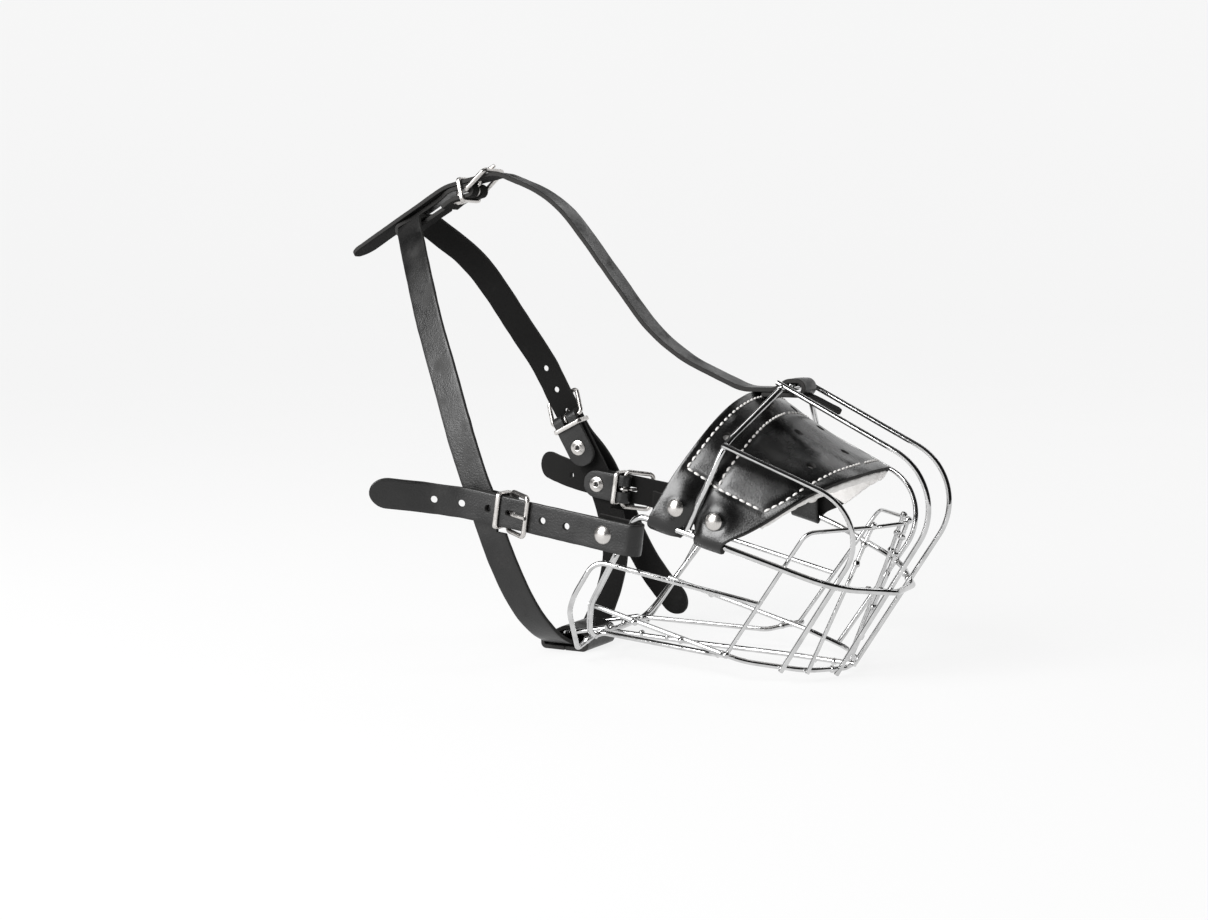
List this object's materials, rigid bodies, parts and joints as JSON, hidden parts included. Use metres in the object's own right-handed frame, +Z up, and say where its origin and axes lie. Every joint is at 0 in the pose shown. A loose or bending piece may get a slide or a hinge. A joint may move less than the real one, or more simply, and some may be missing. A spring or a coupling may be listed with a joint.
{
  "type": "basket muzzle",
  "caption": "Wire basket muzzle for a dog, with a felt-lined leather nose pad and a buckled leather harness.",
  "frame": {"origin": "on the floor, under the middle of the whole object's box as it stands", "axes": "+X towards the nose, +Z up, -Y is the dog's right side; the collar strap's buckle is on +Y"},
  "size_m": [0.3265, 0.1738, 0.2463],
  "materials": {
    "cage_wire": "bright chrome-plated steel wire, welded at each crossing",
    "leather": "black smooth-grain leather, satin outside, matt on the flesh side",
    "felt": "thick off-white wool felt",
    "hardware": "nickel-plated, polished",
    "thread": "waxed off-white sewing thread"
  },
  "bodies": {
    "root": {"cheek_chape_left": "leather", "cheek_chape_right": "leather", "cheek_chape_rivet_left": "hardware", "cheek_chape_rivet_right": "hardware", "cheek_loop_wire_left": "cage_wire", "cheek_loop_wire_right": "cage_wire", "cheek_strap_left": "leather", "cheek_strap_right": "leather", "cheek_strap_rivet_left": "hardware", "cheek_strap_rivet_right": "hardware", "collar_chape_rivet": "hardware", "collar_strap": "leather", "crown_chape": "leather", "crown_chape_rivet": "hardware", "front_bar_centre": "cage_wire", "front_bar_left": "cage_wire", "front_bar_right": "cage_wire", "head_strap": "leather", "head_strap_rivet": "hardware", "keel_wire": "cage_wire", "lower_hoop_wire": "cage_wire", "main_ring_wire": "cage_wire", "nose_arch_wire": "cage_wire", "nose_guard_wire": "cage_wire", "nose_pad_felt": "felt", "nose_pad_leather": "leather", "nose_pad_rivets": "hardware", "throat_loop": "leather", "throat_staple_wire": "cage_wire", "upper_loop_inner_left": "cage_wire", "upper_loop_inner_right": "cage_wire", "upper_loop_outer_left": "cage_wire", "upper_loop_outer_right": "cage_wire"},
    "cheek_buckle_right_frame": {"cheek_buckle_right_frame": "hardware"},
    "cheek_buckle_right_tongue": {"cheek_buckle_right_tongue": "hardware"},
    "cheek_buckle_right_keeper": {"cheek_buckle_right_keeper": "hardware"},
    "cheek_buckle_left_frame": {"cheek_buckle_left_frame": "hardware"},
    "cheek_buckle_left_tongue": {"cheek_buckle_left_tongue": "hardware"},
    "cheek_buckle_left_keeper": {"cheek_buckle_left_keeper": "hardware"},
    "crown_buckle_frame": {"crown_buckle_frame": "hardware"},
    "crown_buckle_tongue": {"crown_buckle_tongue": "hardware"},
    "crown_buckle_keeper": {"crown_buckle_keeper": "hardware"},
    "collar_buckle_frame": {"collar_buckle_frame": "hardware"},
    "collar_buckle_tongue": {"collar_buckle_tongue": "hardware"},
    "collar_buckle_keeper": {"collar_buckle_keeper": "hardware"}
  },
  "joints": [
    {"name": "cheek_buckle_right_frame_hinge", "type": "hinge", "parent": "root", "child": "cheek_buckle_right_frame", "pos_m": [-0.03411, -0.0577, 0.07546], "axis": [-0.143, 0, -0.9897], "range_deg": [0, 10]},
    {"name": "cheek_buckle_right_tongue_hinge", "type": "hinge", "parent": "cheek_buckle_right_frame", "child": "cheek_buckle_right_tongue", "pos_m": [-0.03411, -0.0577, 0.07546], "axis": [-0.143, 0, -0.9897], "range_deg": [0, 8]},
    {"name": "cheek_buckle_right_keeper_slide", "type": "slide", "parent": "root", "child": "cheek_buckle_right_keeper", "axis": [-0.9897, 0, 0.143], "range_m": [-0.0005, 0.0005]},
    {"name": "cheek_buckle_left_frame_hinge", "type": "hinge", "parent": "root", "child": "cheek_buckle_left_frame", "pos_m": [-0.03061, 0.0577, 0.07495], "axis": [0.143, 0, 0.9897], "range_deg": [0, 10]},
    {"name": "cheek_buckle_left_tongue_hinge", "type": "hinge", "parent": "cheek_buckle_left_frame", "child": "cheek_buckle_left_tongue", "pos_m": [-0.03061, 0.0577, 0.07495], "axis": [0.143, 0, 0.9897], "range_deg": [0, 8]},
    {"name": "cheek_buckle_left_keeper_slide", "type": "slide", "parent": "root", "child": "cheek_buckle_left_keeper", "axis": [-0.9897, 0, 0.143], "range_m": [-0.0005, 0.0005]},
    {"name": "crown_buckle_frame_hinge", "type": "hinge", "parent": "root", "child": "crown_buckle_frame", "pos_m": [-0.08803, 0, 0.23295], "axis": [0, -1, 0], "range_deg": [0, 10]},
    {"name": "crown_buckle_tongue_hinge", "type": "hinge", "parent": "crown_buckle_frame", "child": "crown_buckle_tongue", "pos_m": [-0.08803, 0, 0.23295], "axis": [0, -1, 0], "range_deg": [0, 8]},
    {"name": "crown_buckle_keeper_slide", "type": "slide", "parent": "root", "child": "crown_buckle_keeper", "axis": [-0.9781, 0, -0.2079], "range_m": [-0.0005, 0.0005]},
    {"name": "collar_buckle_frame_hinge", "type": "hinge", "parent": "root", "child": "collar_buckle_frame", "pos_m": [-0.06253, 0.05247, 0.1118], "axis": [-0.8918, 0, -0.4524], "range_deg": [0, 10]},
    {"name": "collar_buckle_tongue_hinge", "type": "hinge", "parent": "collar_buckle_frame", "child": "collar_buckle_tongue", "pos_m": [-0.06253, 0.05247, 0.1118], "axis": [-0.8918, 0, -0.4524], "range_deg": [0, 8]},
    {"name": "collar_buckle_keeper_slide", "type": "slide", "parent": "root", "child": "collar_buckle_keeper", "axis": [0.4502, 0.1, -0.8873], "range_m": [-0.0005, 0.0005]}
  ]
}
